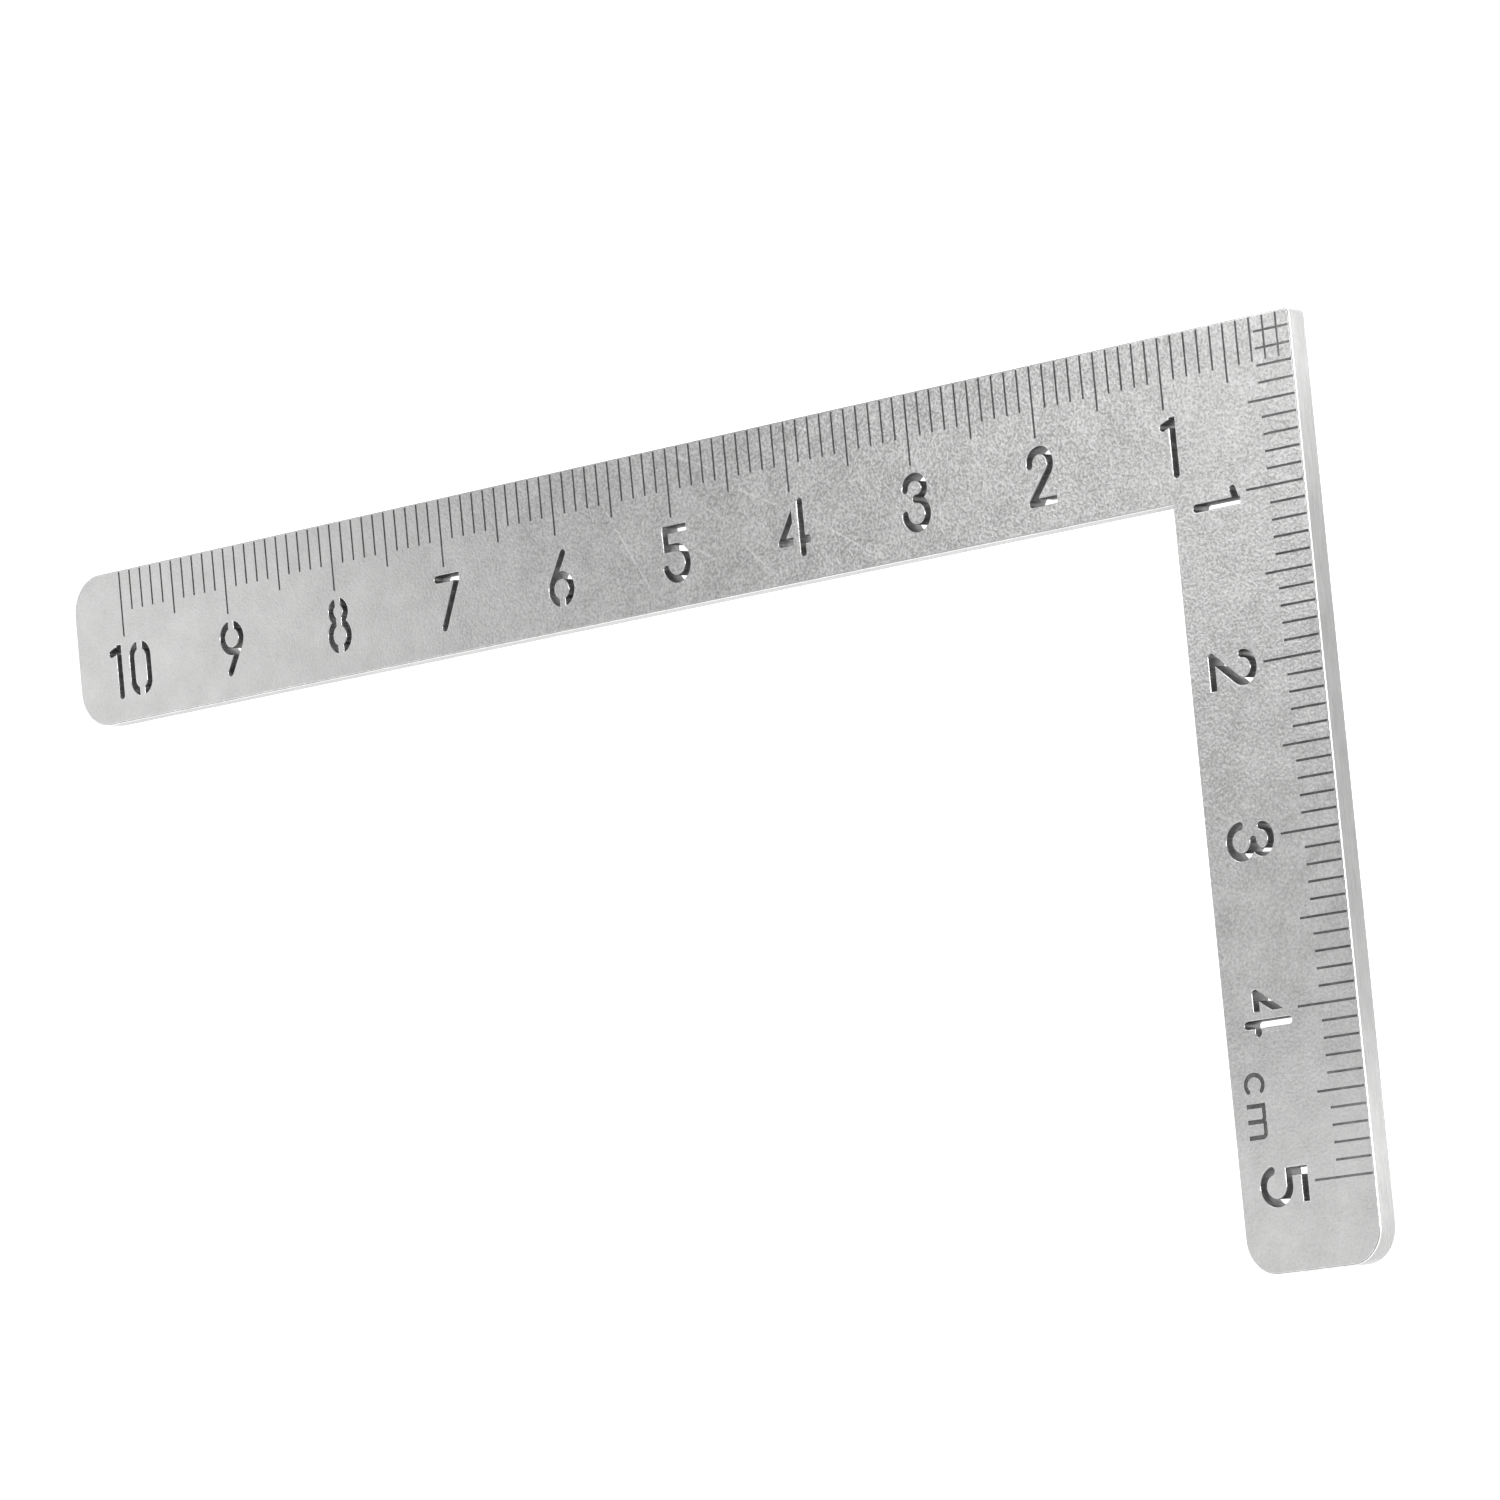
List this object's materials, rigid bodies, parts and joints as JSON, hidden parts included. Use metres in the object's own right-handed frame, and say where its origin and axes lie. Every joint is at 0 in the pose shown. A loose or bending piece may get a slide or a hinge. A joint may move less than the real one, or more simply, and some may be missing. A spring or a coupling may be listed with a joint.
{
  "type": "steel square ruler",
  "caption": "Small L-shaped steel ruler with metric scales along both outer edges and stencil-cut numerals, for squaring and marking leather.",
  "frame": {"origin": "centre of the ruler's outer rectangle, on its underside", "axes": "+X along the long arm towards the zero corner; +Y square to the long arm, towards its graduated outer edge; +Z out of the graduated face. The short arm runs along -Y from the zero corner."},
  "size_m": [0.1046, 0.0552, 0.0015],
  "materials": {
    "satin_steel": "fine bead-blasted satin faces, smoother edges",
    "dark_enamel": "matt dark filling, slightly below the face"
  },
  "bodies": {
    "root": {"steel_plate": "satin_steel", "long_arm_mark_005mm": "dark_enamel", "long_arm_mark_010mm": "dark_enamel", "long_arm_mark_015mm": "dark_enamel", "long_arm_mark_020mm": "dark_enamel", "long_arm_mark_025mm": "dark_enamel", "long_arm_mark_030mm": "dark_enamel", "long_arm_mark_035mm": "dark_enamel", "long_arm_mark_040mm": "dark_enamel", "long_arm_mark_045mm": "dark_enamel", "long_arm_mark_050mm": "dark_enamel", "long_arm_mark_055mm": "dark_enamel", "long_arm_mark_060mm": "dark_enamel", "long_arm_mark_065mm": "dark_enamel", "long_arm_mark_070mm": "dark_enamel", "long_arm_mark_075mm": "dark_enamel", "long_arm_mark_080mm": "dark_enamel", "long_arm_mark_085mm": "dark_enamel", "long_arm_mark_090mm": "dark_enamel", "long_arm_mark_095mm": "dark_enamel", "long_arm_mark_100mm": "dark_enamel", "short_arm_mark_005mm": "dark_enamel", "short_arm_mark_010mm": "dark_enamel", "short_arm_mark_015mm": "dark_enamel", "short_arm_mark_020mm": "dark_enamel", "short_arm_mark_025mm": "dark_enamel", "short_arm_mark_030mm": "dark_enamel", "short_arm_mark_035mm": "dark_enamel", "short_arm_mark_040mm": "dark_enamel", "short_arm_mark_045mm": "dark_enamel", "short_arm_mark_050mm": "dark_enamel", "zero_corner_marks": "dark_enamel", "letter_c": "dark_enamel", "letter_m": "dark_enamel"}
  },
  "joints": []
}
